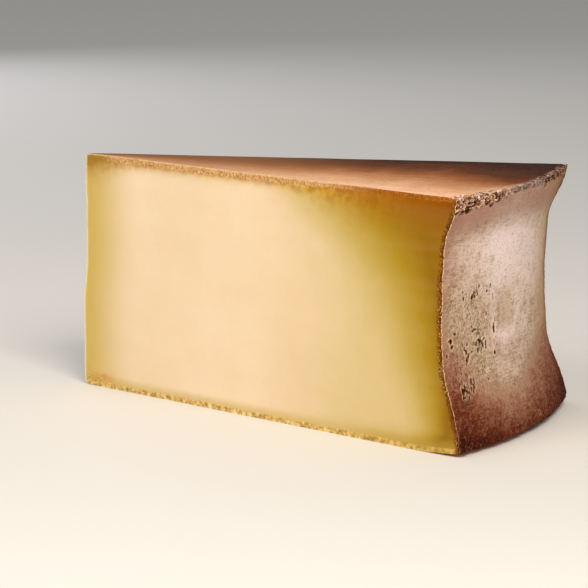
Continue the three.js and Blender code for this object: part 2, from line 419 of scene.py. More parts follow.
# %% The wedge's surface
def wedge_surface(out, across, up):
    """Places in mm in the solid's frame, and fields, for arrays of shares of the box. A place is
    out * heel radius away from the centre, turned by its share of the wedge's angle, and its
    height runs from the curled underside to the top. Relief moves the heel out and the top up."""
    floor = underside_height(out * heel_radius(up * HEIGHT, across), across)
    height = floor + up * (HEIGHT - floor)
    rim = heel_radius(height, across)
    inset = rim * (1 - out)
    drop = HEIGHT - height
    along = across * WEDGE_ANGLE * rim
    moved_out = heel_relief(along, height) * (1 - smooth(inset, 0, 10))
    moved_up = top_relief(out * rim, inset, along) * (1 - smooth(drop, 0, 5))
    radius = out * rim + moved_out
    angle = WEDGE_ANGLE * (across - 0.5)
    leaning = smooth(height, EDGE_LEAN["starts"], EDGE_LEAN["ends"])
    lean = between((EDGE_LEAN["foot"], EDGE_LEAN["head"]), leaning)
    lean = lean + 0.3 * noise(points(0, 0, height), 11, 51)
    x = centre_x + radius * np.cos(angle) + lean * (1 - out) ** 2
    y = centre_y + radius * np.sin(angle)
    fields = {
        "radius": out * rim,
        "from_heel": inset,
        "from_top": drop,
        "from_underside": height - floor,
        "along": along,
        "across": across,
    }
    return points(x, y, height + moved_up), fields


corner, _ = wedge_surface(np.ones(2), np.array([0.0, 1.0]), np.ones(2))
print("top corners of the heel at", np.round(corner, 1).tolist())

# %% [markdown]
# The rind's colours follow what happened to it. A pale bloom grew over the middle of the heel,
# where its paleness is partly a painted sheen, and a straw-coloured spot in it was rubbed bare
# and has a ring of bloom round it. The foot is stained russet by the boards it lay on, and
# painted shade makes it darker still towards the bottom. The lip under the top is mauve-brown.
# Each is a soft patch with a place in mm. In the paste, ripening turns cream to gold towards the
# heel, along a front that starts furthest in below the top rind and bends back to the heel lower
# down.

# %% Fields for the colours
# Patches: along, height, half size along, half size down, half size up, strength.
# The bloom's paleness in the middle of the heel is partly a painted sheen.
BLOOM_AND_SHEEN = [
    (72, 106, 60, 36, 27, 0.95), (112, 82, 32, 30, 30, 0.3), (60, 57, 13, 6, 5, 0.16),
    (94, 55, 20, 12, 10, 0.3), (52, 88, 12, 7, 9, 0.15), (62, 42, 26, 12, 12, 0.36),
    (60, 110, 20, 9, 9, 0.3), (54, 58, 26, 14, 16, 0.14), (130, 96, 14, 24, 24, 0.2),
]
# A ring of bloom, in the same order.
RINGS = [(67, 72, 17, 16.5, 17, 0.27)]
STRAW = [(68, 74, 11, 12, 10, 1), (22, 62, 24, 28, 32, 0.62), (100, 100, 26, 30, 30, 0.3)]
RUSSET_FROM = [
    (0, 78), (15, 66), (25, 51), (35, 41), (55, 34), (66, 31), (78, 33), (90, 39), (105, 46), (120, 52),
    (150, 62), (161, 72),
]
MAUVE = (113, 130)
MAUVE_SPOTS = [(4, 112, 7, 14, 14, 0.5), (22, 119, 9, 5, 8, 0.25)]
PALE_LIP = [(58, 126, 26, 16, 16, 0.35)]
LILAC_RIM = [
    (67, 1.5, 3.5, 3, 3, 0.7), (90, 1.5, 8, 3, 3, 0.65), (79, 1.5, 3, 2, 2, 0.3), (52, 1, 8, 3, 3, 0.3),
]
# Painted shade at the foot: darker patches low down and at its bottom corners.
FOOT_SHADE = [
    (10, 24, 13, 10, 12, 0.16), (18, 3, 14, 5, 7, 0.25), (2, 1, 9, 6, 7, 0.4), (163, 2, 32, 10, 24, 0.3),
]
STAIN = [(15, 6, 9, 3, 3, 1)]
FLAKY_TOP = [(40, 6, 13, 6, 6, 0.65), (58, 3, 10, 3, 3, 0.7), (74, 2, 8, 2.5, 2.5, 0.5)]
# Where ripening starts, and the power by which it rises from there, by the depth under the top.
RIPE_START = [
    (0, 150), (15, 160), (35, 188), (55, 210), (75, 221), (95, 229), (125, 249), (140, 252),
]
RIPE_POWER = [
    (0, 0.7), (15, 0.8), (35, 1), (55, 1.2), (75, 1.35), (95, 1.5), (110, 1.75), (126, 1.6),
]
RIPE_END = 285
# How ripe the paste gets: over its outer half, behind the front, and low down by the heel.
RIPE_OUTER = 0.28
RIPE_FRONT = 0.84
RIPE_LOW = 0.25
# The amber layer's depth at the centre and how much deeper it gets between two radii, and how
# much deeper it is near the wheel's centre, between two more.
AMBER_DEPTH = 2.9
AMBER_DEEPER = 8.3
AMBER_FROM = (140, 235)
DEEPER_BY_CENTRE = 5.5
CENTRE_CORNER = (5, 45)


def patches(spots, along, height, ring=False):
    """Sum of soft patches. d is the distance from a patch's middle in its half sizes, one of them
    below the middle and another above it. A patch falls off as exp(-d^2), and a ring from its
    border, where d is 1, with its upper part left out."""
    total = np.zeros(len(along))
    for middle_along, middle_height, half_along, half_down, half_up, strength in spots:
        rise = height - middle_height
        rise = rise / np.where(rise < 0, half_down, half_up)
        away = ((along - middle_along) / half_along) ** 2 + rise**2
        if ring:
            away = ((np.sqrt(away) - 1) / 0.2) ** 2
            strength = strength * smooth(-rise, -1.1, 0.6)
        total += strength * np.exp(-away)
    return total


def ripeness(radius, from_top):
    """0 in the cream paste and 1 at the heel: a slow rise all over the outer half of the paste,
    and a power of the way from the ripening front to the heel, low under the top, where it
    rises at once, and higher further down, where it rises late."""
    start = profile(RIPE_START, from_top)
    way = np.clip((radius - start) / (RIPE_END - start), 0, 1)
    low_down = RIPE_LOW * smooth(from_top, 126, 137) * smooth(radius, 150, 270)
    behind_front = RIPE_FRONT * way ** profile(RIPE_POWER, from_top)
    return RIPE_OUTER * smooth(radius, 120, 250) + behind_front + low_down


def colour_fields(fields):
    """Shares from 0 to 1 that the materials mix their colours by."""
    along, radius, inset, drop = (fields[name] for name in ("along", "radius", "from_heel", "from_top"))
    height = HEIGHT - drop
    flat = points(along, height, inset)
    ragged_inset = inset + 1.2 * noise(flat, *RAGGED_TOP)
    ragged_drop = drop + 1.3 * noise(flat, *RAGGED_HEEL)
    on_heel = inset < 0.1
    heel_lumps = worms(points(along, height, HEEL_LAYER), HEEL_LUMPS)
    top_lumps = worms(points(along, radius, TOP_LAYER), TOP_LUMPS)
    _, pit_dark, pit_pale = pit_fields(along, height)
    # The russet stain, with painted shade that darkens it further towards the bottom.
    russet_and_shade = 0.92 * np.clip(1 - height / profile(RUSSET_FROM, along), 0, 1) ** 0.9
    mauve = smooth(height, *MAUVE) * (1 - patches(PALE_LIP, along, height))
    amber_depth = AMBER_DEPTH + AMBER_DEEPER * smooth(radius, *AMBER_FROM)
    amber_depth = amber_depth + DEEPER_BY_CENTRE * (1 - smooth(radius, *CENTRE_CORNER))
    return {
        "bloom_and_sheen": patches(BLOOM_AND_SHEEN, along, height) + patches(RINGS, along, height, ring=True) + 0.08,
        "straw": patches(STRAW, along, height),
        "russet_and_shade": russet_and_shade + patches(FOOT_SHADE, along, height),
        "mauve": mauve + patches(MAUVE_SPOTS, along, height),
        "lilac": patches(LILAC_RIM, along, inset + drop),
        "flaky": patches(FLAKY_TOP, along, inset),
        "stain": patches(STAIN, radius, fields["from_underside"]),
        # Painted shade in the pits, along with their dark contents, and in the deep gaps under the rim's
        # lumps; then a painted highlight on the pits' rims.
        "pit": np.maximum(pit_dark, rim_gaps(along, height)) * on_heel,
        "pit_rim": pit_pale * on_heel,
        "scaly": np.maximum(worn_share(along, height), 0.5 * (1 - smooth(height, 14, 50))),
        "crumble": crumble_share(ragged_inset, ragged_drop, along),
        "lump": np.clip(np.where(on_heel, heel_lumps, top_lumps), 0, 1),
        "ripe": ripeness(radius, drop),
        "amber": np.exp(-((np.maximum(0, drop - 3) / amber_depth) ** 1.6)),
    }


print("ripeness 15 mm under the top", np.round(ripeness(np.array([184.0, 216.0, 264.0]), 15), 2))

# %% [markdown]
# The five faces of the box share their border lines. Each grid point gets a number made of its
# three line numbers, so a point on a border has one number in every face, and the faces close
# up into one skin with no doubles to merge. At the wheel's centre the grid's first line
# shrinks to an edge, and the squares next to it become triangles.

# %% Build the skin
def point_numbers(out_line, across_line, up_line):
    """One whole number for each grid point. All points on the centre's edge count as one line."""
    across_line = np.where(out_line == 0, 0, across_line)
    return (out_line * len(ACROSS_LINES) + across_line) * len(UP_LINES) + up_line


def face_corners(fixed, value, first, second):
    """Corner numbers of the squares of one face of the box: the direction called fixed stays at
    one line, and the squares run round from the first direction to the second."""
    counts = {"out": len(OUT_LINES), "across": len(ACROSS_LINES), "up": len(UP_LINES)}
    a, b = np.meshgrid(np.arange(counts[first] - 1), np.arange(counts[second] - 1), indexing="ij")
    corners = []
    for step_a, step_b in ((0, 0), (1, 0), (1, 1), (0, 1)):
        where = {fixed: np.full(a.size, value), first: a.ravel() + step_a, second: b.ravel() + step_b}
        corners.append(point_numbers(where["out"], where["across"], where["up"]))
    return np.stack(corners, axis=1)


LAST = [len(OUT_LINES) - 1, len(ACROSS_LINES) - 1, len(UP_LINES) - 1]
faces_of = {
    "front_cut": face_corners("across", 0, "out", "up"),
    "back_cut": face_corners("across", LAST[1], "up", "out"),
    "heel": face_corners("out", LAST[0], "across", "up"),
    "top": face_corners("up", LAST[2], "out", "across"),
    "underside": face_corners("up", 0, "across", "out"),
}
numbers, packed = np.unique(np.concatenate(list(faces_of.values())), return_inverse=True)
packed = packed.reshape(-1, 4)
shares = [
    OUT_LINES[numbers // (len(ACROSS_LINES) * len(UP_LINES))],
    ACROSS_LINES[numbers // len(UP_LINES) % len(ACROSS_LINES)],
    UP_LINES[numbers % len(UP_LINES)],
]
places, fields = wedge_surface(*shares)
fields.update(colour_fields(fields))
slot_of = {"front_cut": 0, "back_cut": 0, "heel": 1, "top": 2, "underside": 2}
slots = np.concatenate([np.full(len(f), slot_of[name]) for name, f in faces_of.items()])
print(len(places), "points and", len(packed), "squares, lowest", round(places[:, 2].min(), 2), "mm")


# %% A mesh from arrays
def mesh_object(name, points, polygons, values, materials, slots=None):
    """An object at the origin from points in mm. A square with two corners alike is made a
    triangle. values are point attributes by name, and slots the material of each polygon."""
    trimmed = [[c for i, c in enumerate(corners) if c != corners[i - 1]] for corners in polygons.tolist()]
    mesh = bpy.data.meshes.new(name)
    mesh.from_pydata((points * MM).tolist(), [], trimmed)
    for key, value in values.items():
        layer = mesh.attributes.new(key, "FLOAT", "POINT")
        layer.data.foreach_set("value", value.astype(np.float32))
    for material in materials:
        mesh.materials.append(material)
    if slots is not None:
        mesh.polygons.foreach_set("material_index", slots.astype(np.int32))
    mesh.shade_smooth()
    made = bpy.data.objects.new(name, mesh)
    bpy.context.scene.collection.objects.link(made)
    edges = np.empty(len(mesh.loops), np.int32)
    mesh.loops.foreach_get("edge_index", edges)
    open_edges = np.count_nonzero(np.bincount(edges) != 2)
    print(name, "has", sum(len(p) - 2 for p in trimmed), "triangles and", open_edges, "open edges")
    return made


# %% [markdown]
# Crumbs lie where the cheese was broken or sawn: lumps of rind and curd on the crumbled rim,
# and fine grains of paste along the knife's way out at the heel and the underside. Each is a
# small solid of 20 faces with every corner pushed in or out at random, half sunk into the
# skin. The solid's corners are the ends of three golden rectangles, and its faces are all the
# triangles whose three sides are as short as they can be. Crumbs are scattered by the skin's
# own surface function, so they sit on it exactly.

# %% The shape of a crumb
GOLDEN = (1 + math.sqrt(5)) / 2
SIGNS = [(a, b) for a in (-1, 1) for b in (-1, 1)]
crumb_corners = np.array([np.roll((0, a, b * GOLDEN), turn) for turn in (0, -1, -2) for a, b in SIGNS])
crumb_corners /= np.linalg.norm(crumb_corners, axis=1)[:, None]
gaps = np.linalg.norm(crumb_corners[:, None] - crumb_corners[None], axis=2)
EDGE = gaps[gaps > 0.01].min() * 1.01
triples = np.array([(a, b, c) for a in range(12) for b in range(a + 1, 12) for c in range(b + 1, 12)])
longest = np.max([gaps[triples[:, k - 1], triples[:, k]] for k in range(3)], axis=0)
crumb_faces = triples[longest < EDGE]
inward = np.linalg.det(crumb_corners[crumb_faces]) < 0
crumb_faces[inward] = crumb_faces[inward][:, [0, 2, 1]]
print("a crumb has", len(crumb_faces), "faces")


# %% Scatter crumbs
def scatter(draw, number, out, across, up, size, lift=0, keep=None):
    """Middles, sizes and tones of crumbs. out, across and up are ranges of shares, or one number
    where the crumbs stay on a face. lift moves each middle outwards by that many of its sizes.
    keep gives each place's chance."""
    picked = [
        draw.uniform(*share, number) if isinstance(share, tuple) else np.full(number, float(share))
        for share in (out, across, up)
    ]
    if keep is not None:
        kept = draw.uniform(0, 1, number) < keep(*picked)
        picked = [share[kept] for share in picked]
    middle, _ = wedge_surface(*picked)
    step = 0.002
    moved = []
    for axis in range(3):
        low = [np.clip(s - step * (k == axis), 0, 1) for k, s in enumerate(picked)]
        high = [np.clip(s + step * (k == axis), 0, 1) for k, s in enumerate(picked)]
        moved.append(wedge_surface(*high)[0] - wedge_surface(*low)[0])
    if out == 1:
        outward = np.cross(moved[1], moved[2])
    elif up == 1:
        outward = np.cross(moved[0], moved[1])
    else:
        outward = np.cross(moved[0], moved[2]) * (1 if across == 0 else -1)
    outward /= np.linalg.norm(outward, axis=1)[:, None]
    sizes = draw.uniform(size[0] ** 0.5, size[1] ** 0.5, len(middle)) ** 2
    middle = middle + outward * (sizes * lift)[:, None]
    return middle, sizes, draw.uniform(0, 1, len(middle))


def crumb_piece(name, draw, groups, material):
    """One object of all the groups' crumbs. Each crumb is turned by a random rotation, stretched
    by up to half, and its corners are moved in or out by up to a third."""
    middles, sizes, tones = (np.concatenate([group[k] for group in groups]) for k in range(3))
    number = len(middles)
    turns = np.linalg.qr(draw.normal(size=(number, 3, 3)))[0]
    turns *= np.sign(np.linalg.det(turns))[:, None, None]
    stretch = draw.uniform(0.6, 1.35, (number, 1, 3))
    push = draw.uniform(0.66, 1.2, (number, 12, 1))
    shape = crumb_corners[None] * push * stretch * (sizes / 2)[:, None, None]
    corners = shape @ turns + middles[:, None]
    faces = crumb_faces[None] + 12 * np.arange(number)[:, None, None]
    tone = np.repeat(tones, 12)
    return mesh_object(name, corners.reshape(-1, 3), faces.reshape(-1, 3), {"tone": tone}, [material])


draw = np.random.default_rng(5)
_, test_sizes, _ = scatter(draw, 10, 1, (0.1, 0.3), (0.95, 1), (0.8, 2.4))
print("ten crumbs of", np.round(test_sizes, 1), "mm")

# %% [markdown]
# Every colour below is an sRGB hex value, and one function makes it linear. One more function
# adds a node with its settings and links, so a material reads as a list of steps. Where one
# step comes many times, a table holds its numbers and a loop adds the nodes. Pattern sizes are
# given in millimetres: a texture's scale is how many grains fit in a metre.

# %% Helpers for materials
SOFT = {"interpolation_type": "SMOOTHSTEP"}
COLOURS = {"output": 2, "data_type": "RGBA"}
TIMES = {"operation": "MULTIPLY"}
TIMES_PLUS = {"operation": "MULTIPLY_ADD"}
CHEESE_IOR = 1.45


def linear(colour):
    """Linear red, green, blue and alpha of an sRGB hex colour."""
    shares = [int(colour[i : i + 2], 16) / 255 for i in (1, 3, 5)]
    return [s / 12.92 if s <= 0.04045 else ((s + 0.055) / 1.055) ** 2.4 for s in shares] + [1.0]


def grains(size):
    """Scale of a texture, in grains per metre, for a grain size in mm."""
    return 1 / (size * MM)


def add(tree, kind, inputs=(), output=0, stops=None, **settings):
    """Adds a node and returns one of its outputs. inputs gives its sockets, in order or by name,
    a value, a hex colour or the output that feeds them. settings are the node's own, and stops
    are a ramp's colours, each by its place."""
    node = tree.nodes.new("ShaderNode" + kind)
    for name, value in settings.items():
        setattr(node, name, value)
    for name, value in inputs.items() if isinstance(inputs, dict) else enumerate(inputs):
        if isinstance(value, bpy.types.NodeSocket):
            tree.links.new(value, node.inputs[name])
        else:
            node.inputs[name].default_value = linear(value) if isinstance(value, str) else value
    if stops:
        ramp = node.color_ramp.elements
        while len(ramp) < len(stops):
            ramp.new(0.5)
        for element, (place, colour) in zip(ramp, stops.items()):
            element.position = place
            element.color = linear(colour)
    return node.outputs[output] if node.outputs else node


def new_material(name, fields, noises):
    """A new material and its node tree, the place, and what else it reads: the skin's fields, by
    name, and noises, each given by its grain in mm, its layers of detail and its roughness."""
    material = bpy.data.materials.new(name)
    material.use_nodes = True
    tree = material.node_tree
    tree.nodes.clear()
    place = add(tree, "TexCoord", output="Object")
    share = {field: add(tree, "Attribute", output="Fac", attribute_name=field) for field in fields}
    noises = [
        add(tree, "TexNoise", dict(Vector=place, Scale=grains(size), Detail=layers, Roughness=harsh))
        for size, layers, harsh in noises
    ]
    return material, tree, place, share, noises


def waved(tree, value, waves):
    """The value plus a wave of each pattern, from half its amount below to half above."""
    for pattern, amount in waves:
        wave = add(tree, "Math", [pattern, amount, -amount / 2], **TIMES_PLUS)
        value = add(tree, "Math", [value, wave], operation="ADD")
    return value


def finish(tree, colour, roughness, height, bump, look):
    """Ends a material: a bump made of the height, with bump as its strength and its depth in mm,
    then the shader, whose further sockets are in look, and the output."""
    bumped = add(tree, "Bump", {"Height": height, "Strength": bump[0], "Distance": bump[1] * MM})
    look = {"Base Color": colour, "Roughness": roughness, "Normal": bumped, "IOR": CHEESE_IOR} | look
    add(tree, "OutputMaterial", {"Surface": add(tree, "BsdfPrincipled", look)})


print("cream is", np.round(linear("#F8D6AA"), 3))

# %% [markdown]
# Paste is pressed curd, cut with a wire: a dense, slightly moist solid that light enters a
# little, so it gets some subsurface scattering and a soft gloss. Its colour is ripeness: cream
# in the middle, straw then gold then brown gold towards the heel, and amber under the top rind.
# Along the thin edge at the wheel's centre it is painted dull olive, as shade, since light leaks
# out through so thin an edge, and the very tip is painted pale, as light glowing through it. The
# rinds show as bands where the wire cut through them, so the bands are part of this material.

# %% The paste
names = ("radius", "from_top", "from_heel", "from_underside", "amber", "stain", "ripe")
paste, tree, place, share, (cloud, mottle, flakes, fine) = new_material(
    "pressed_paste", names, [(38, 3, 0.5), (4.5, 4, 0.5), (2.6, 4, 0.6), (1.3, 4, 0.5)]
)
radius, from_top, from_heel, from_under = [share[name] for name in names[:4]]
ripe_here = waved(tree, share["ripe"], [(cloud, 0.16)])
ripe_here = add(tree, "Math", [mottle, 0.04, ripe_here], **TIMES_PLUS)
way_out = add(tree, "Math", [radius, TOP_EDGE], operation="DIVIDE")
cream_stops = {
    0: "#E1C9A9", 0.12: "#D8BF98", 0.25: "#CDB685", 0.45: "#BEA665", 0.6: "#B29648",
    0.8: "#A0801F", 1: "#875F06",
}
amber_stops = {
    0: "#94701A", 0.1: "#BC943E", 0.5: "#C4983E", 0.62: "#C4962C", 0.78: "#9E6404", 1: "#7A3C00",
}
dull_stops = {0: "#B9983F", 0.15: "#C2A560", 0.7: "#BFA35E", 0.85: "#AE9046", 1: "#9F8228"}
cream = add(tree, "ValToRGB", [ripe_here], stops=cream_stops)
amber_colour = add(tree, "ValToRGB", [way_out], stops=amber_stops)
dull_colour = add(tree, "ValToRGB", [way_out], stops=dull_stops)
speckle = add(tree, "MapRange", [mottle, 0.42, 0.62, 0, 0.6])
amber_colour = add(tree, "Mix", {0: speckle, 6: amber_colour, 7: "#8A4A00"}, **COLOURS)
print("paste colours mixed")

# %% [markdown]
# Where the wire left through the rinds the cut shows them from the side. On top the rind is a
# brown-pink band 4 mm thick with a soft lower border and a pale line at the very edge, and
# near the heel it thins to a brown-orange line. Underneath it is paler, 3 mm thick and grainy,
# below a dull line. At the heel the rind is only a pale thread, with a crack whose shade is
# painted as a dark line, and a strip of dried, crumbly paste 3 to 4 mm wide behind it. At the
# foot the thread fades, and the strip turns red-brown.

# %% Where each layer of the cut lies
wobble = add(tree, "Math", [mottle, 2.2, -1.1], **TIMES_PLUS)
top_depth = add(tree, "Math", [from_top, wobble], operation="ADD")
under_depth = add(tree, "Math", [from_under, wobble], operation="ADD")
heel_depth = add(tree, "Math", [wobble, 1.3, from_heel], **TIMES_PLUS)
band_end = add(tree, "MapRange", [radius, 150, 215, 4.4, 2.8], **SOFT)
band_way = add(tree, "Math", [top_depth, band_end], operation="DIVIDE")

# Soft borders: what each layer follows, where it starts and ends in mm, and its strength at both.
for name, followed, start, end, first, last in (
    # Painted shade along the thin edge at the wheel's centre.
    ("apex_shade", radius, 0, 46, 0.95, 0),
    ("centre", radius, 8, 34, 0.85, 0),
    ("old_band", radius, 178, 236, 0, 0.95),
    # A painted glow where light comes through the very tip of the edge.
    ("apex_glow", radius, 0.4, 2.2, 0.6, 0),
    ("band", band_way, 0.7, 1.15, 0.9, 0),
    ("pale_line", top_depth, 0.3, 1, 0.6, 0),
    ("dull_line", under_depth, 3.4, 9, 0.7, 0),
    ("under_band", under_depth, 2.2, 3.6, 0.85, 0),
    ("dried", heel_depth, 2.2, 4.8, 0.9, 0),
    # The crack behind the thread, painted dark as its shade.
    ("crack_shade", from_heel, 1.2, 2, 1, 0),
    ("thread", from_heel, 0.35, 0.75, 0.9, 0),
):
    share[name] = add(tree, "MapRange", [followed, start, end, first, last], **SOFT)

# What holds a layer back in places.
unripe = add(tree, "Math", [1, share["old_band"]], operation="SUBTRACT")
below_rim = add(tree, "MapRange", [from_top, 5, 9, 0.35, 1])
above_foot = add(tree, "MapRange", [from_under, 5, 26, 0.1, 1])
broken = add(tree, "MapRange", [mottle, 0.4, 0.5, 0.45, 0.95])
dotted = add(tree, "MapRange", [fine, 0.36, 0.48, 0.5, 1])
for name, limit in (
    ("pale_line", unripe),
    ("dried", below_rim),
    ("crack_shade", broken),
    ("crack_shade", below_rim),
    ("thread", dotted),
    ("thread", above_foot),
    ("stain", flakes),
):
    share[name] = add(tree, "Math", [share[name], limit], **TIMES)
print("the cut's fields and layers:", ", ".join(share))

# %% Colours of the layers
band_colour, band_brown, under_colour, dried_colour, thread_colour = [
    add(tree, "ValToRGB", [grain], stops=stops)
    for grain, stops in (
        (fine, {0.32: "#966632", 0.46: "#B88A56", 0.58: "#C8A070", 0.72: "#DCBA90"}),
        (fine, {0.36: "#783E00", 0.64: "#A66204"}),
        (flakes, {0.38: "#8C641E", 0.47: "#BC974A", 0.55: "#D2B26A", 0.66: "#E8D29A"}),
        (fine, {0.36: "#421E01", 0.48: "#643602", 0.58: "#845006", 0.7: "#B07820"}),
        (fine, {0.4: "#B88448", 0.6: "#EACA9C"}),
    )
]
band_colour = add(tree, "Mix", {0: share["old_band"], 6: band_colour, 7: band_brown}, **COLOURS)
band_colour = add(tree, "Mix", {0: share["centre"], 6: band_colour, 7: "#866410"}, **COLOURS)
old_end = add(tree, "MapRange", [radius, 200, 275, 0, 0.45])
under_colour = add(tree, "Mix", {0: old_end, 6: under_colour, 7: "#AE8E3A"}, **COLOURS)
foot_red = add(tree, "MapRange", [from_under, 6, 34, 0.9, 0])
dried_colour = add(tree, "Mix", {0: foot_red, 6: dried_colour, 7: "#6A2E12"}, **COLOURS)

# The wire's drag left faint slanting streaks.
drag_place = add(tree, "Mapping", {0: place, 2: (0, 0.5, 0), 3: (0.12, 0.12, 1)})
drag = add(tree, "TexNoise", {"Vector": drag_place, "Scale": grains(9), "Detail": 2})
share["drag"] = add(tree, "MapRange", [drag, 0.4, 0.62, 0, 0.05])

for name, colour in (
    # Painted shade of the thin edge.
    ("apex_shade", "#BFA350"),
    ("amber", amber_colour),
    ("band", band_colour),
    ("pale_line", "#E0BE8E"),
    ("dull_line", dull_colour),
    ("under_band", under_colour),
    ("dried", dried_colour),
    # The crack behind the thread, painted dark as its shade.
    ("crack_shade", "#481800"),
    ("thread", thread_colour),
    ("stain", "#C0742A"),
    # Painted glow at the edge's tip.
    ("apex_glow", "#E6DBAE"),
    ("drag", "#C9A673"),
):
    cream = add(tree, "Mix", {0: share[name], 6: cream, 7: colour}, **COLOURS)
print("layers mixed over the paste")

# %% Finish the paste
grain = add(tree, "Math", [drag, 0.6, fine], **TIMES_PLUS)
gloss = add(tree, "MapRange", [mottle, 0.3, 0.7, 0.44, 0.56])
look = {"Specular IOR Level": 0.08, "Subsurface Weight": 0.2, "Subsurface Scale": 1.2 * MM}
look["Subsurface Radius"] = (1.0, 0.55, 0.25)
finish(tree, cream, gloss, grain, (0.25, 0.25), look)
print("paste has", len(tree.nodes), "nodes")

# %% [markdown]
# The heel's rind is a dry crust that was rubbed with brine under cloth: matt, finely woven by
# the cloth's print, brown beige where it is bare and whitish pink where the bloom grew, with a
# painted sheen over the bloom in the middle. Towards the back cut and under the lip it is
# darkened by painted shade. Near the front cut and at the foot it is scaly, with fine dark and
# pale flecks. The cloth's threads are 1.6 mm apart, a little coarser than the real ones, so that
# they still show.

# %% Patterns of the heel's rind
names = ("bloom_and_sheen", "straw", "russet_and_shade", "mauve", "lilac", "pit", "pit_rim", "scaly", "crumble", "lump")
heel_rind, tree, place, share, (cloud, blotch, scales, fine) = new_material(
    "hoop_rind", names + ("along", "from_top"), [(13, 5, 0.62), (5, 4, 0.65), (1.9, 3, 0.75), (1.5, 5, 0.7)]
)
along = share["along"]
# Streaks and wrinkles follow the cloth, so they are stretched along the heel.
flat_place = add(tree, "CombineXYZ", {"X": along, "Y": share["from_top"]})
streak_place = add(tree, "Mapping", {0: flat_place, 3: (0.05, 0.45, 1)})
streak = add(tree, "TexNoise", {"Vector": streak_place, "Scale": 1, "Detail": 4})
wrinkle_place = add(tree, "Mapping", {0: flat_place, 3: (0.16, 1, 1)})
wrinkle = add(tree, "TexNoise", {"Vector": wrinkle_place, "Scale": 1, "Detail": 4, "Roughness": 0.6})
uneven = add(tree, "Math", [cloud, 1.3, -0.65], **TIMES_PLUS)
uneven = waved(tree, uneven, [(streak, 0.6), (fine, 1.7), (wrinkle, 1.3), (blotch, 1)])

THREAD_PITCH = 1.6
turns = add(tree, "Math", [share["from_top"], 2 * math.pi / THREAD_PITCH], **TIMES)
sway = add(tree, "Math", [cloud, 14, turns], **TIMES_PLUS)
threads = add(tree, "Math", [sway], operation="SINE")
print("patterns of the heel's rind made")

# %% Where each colour of the heel's rind lies
russet_shade_wave = add(tree, "Math", [uneven, 0.42, share["russet_and_shade"]], **TIMES_PLUS)
russet_shade_here = add(tree, "MapRange", [russet_shade_wave, 0.02, 0.34, 0, 1], **SOFT)
unstained = add(tree, "Math", [1, russet_shade_here], operation="SUBTRACT")
cloudy = add(tree, "Math", [cloud, 0.8, 0.4], **TIMES_PLUS)
# Painted shade: the heel darkens towards the back cut, and under the top lip there.
far_shade, furthest_shade, lip_shade = [
    add(tree, "MapRange", [along, start, end, 0, most], **SOFT)
    for start, end, most in ((96, 144, 0.55), (140, 160, 0.8), (112, 146, 0.5))
]
# Straight ramps: what each follows, where it starts and ends, and its strength at both.
edge, grey_rim, print_here, scale_dark, scale_pale, speck, flaked, pit_here = [
    add(tree, "MapRange", [followed, start, end, first, last])
    for followed, start, end, first, last in (
        (along, 0, 9, 0.35, 0),
        (along, 44, 64, 0, 1),
        (streak, 0.42, 0.6, 0, 0.09),
        (scales, 0.52, 0.66, 0, 0.75),
        (scales, 0.47, 0.36, 0, 0.45),
        (fine, 0.56, 0.68, 0, 0.5),
        (fine, 0.42, 0.56, 0.1, 1),
        (share["pit"], 0.05, 0.75, 0, 0.98),
    )
]
print_here = add(tree, "Math", [print_here, unstained], **TIMES)
straw_here, lip_shade, print_here, scale_dark, scale_pale = [
    add(tree, "Math", [first, second], **TIMES)
    for first, second in (
        (share["straw"], 0.4),
        (lip_shade, share["mauve"]),
        (threads, print_here),
        (scale_dark, share["scaly"]),
        (scale_pale, share["scaly"]),
    )
]
print_here = add(tree, "Math", [print_here, 0], operation="MAXIMUM")
for name, limit in (("mauve", cloudy), ("crumble", 1.5), ("lilac", flaked), ("pit_rim", fine)):
    share[name] = add(tree, "Math", [share[name], limit], use_clamp=True, **TIMES)
print("heel's colours placed")


# %% Colours of the heel's rind
def crumbled_colour_with_gap_shade(tree, fine, lump, greyed, stops):
    """Colours of the crumbled rim, from the gaps between its lumps, painted dark as shade, to the
    pale crests of its lumps, and greyer where greyed is 1."""
    crest = add(tree, "Math", [fine, 0.5, lump], **TIMES_PLUS)
    crest = add(tree, "MapRange", [crest, 0.2, 1.2])
    colour = add(tree, "ValToRGB", [crest], stops=stops)
    return add(tree, "Mix", {0: greyed, 6: colour, 7: "#A8A4A8"}, blend_type="MULTIPLY", **COLOURS)


# Bloom, with a painted sheen where it is palest.
bloom_sheen_here = add(tree, "Math", [share["bloom_and_sheen"], uneven], operation="ADD")
bloom_sheen_stops = {
    0: "#94755B", 0.2: "#A78B73", 0.35: "#B59A85", 0.55: "#C4AD9C", 0.75: "#D4BEB1", 1: "#E6D2CC",
}
# The darkest russet colours are partly painted shade at the foot.
russet_shade_stops = {0.1: "#AE8A70", 0.3: "#9A7058", 0.55: "#7E4F3A", 0.75: "#602C17", 1: "#380E05"}
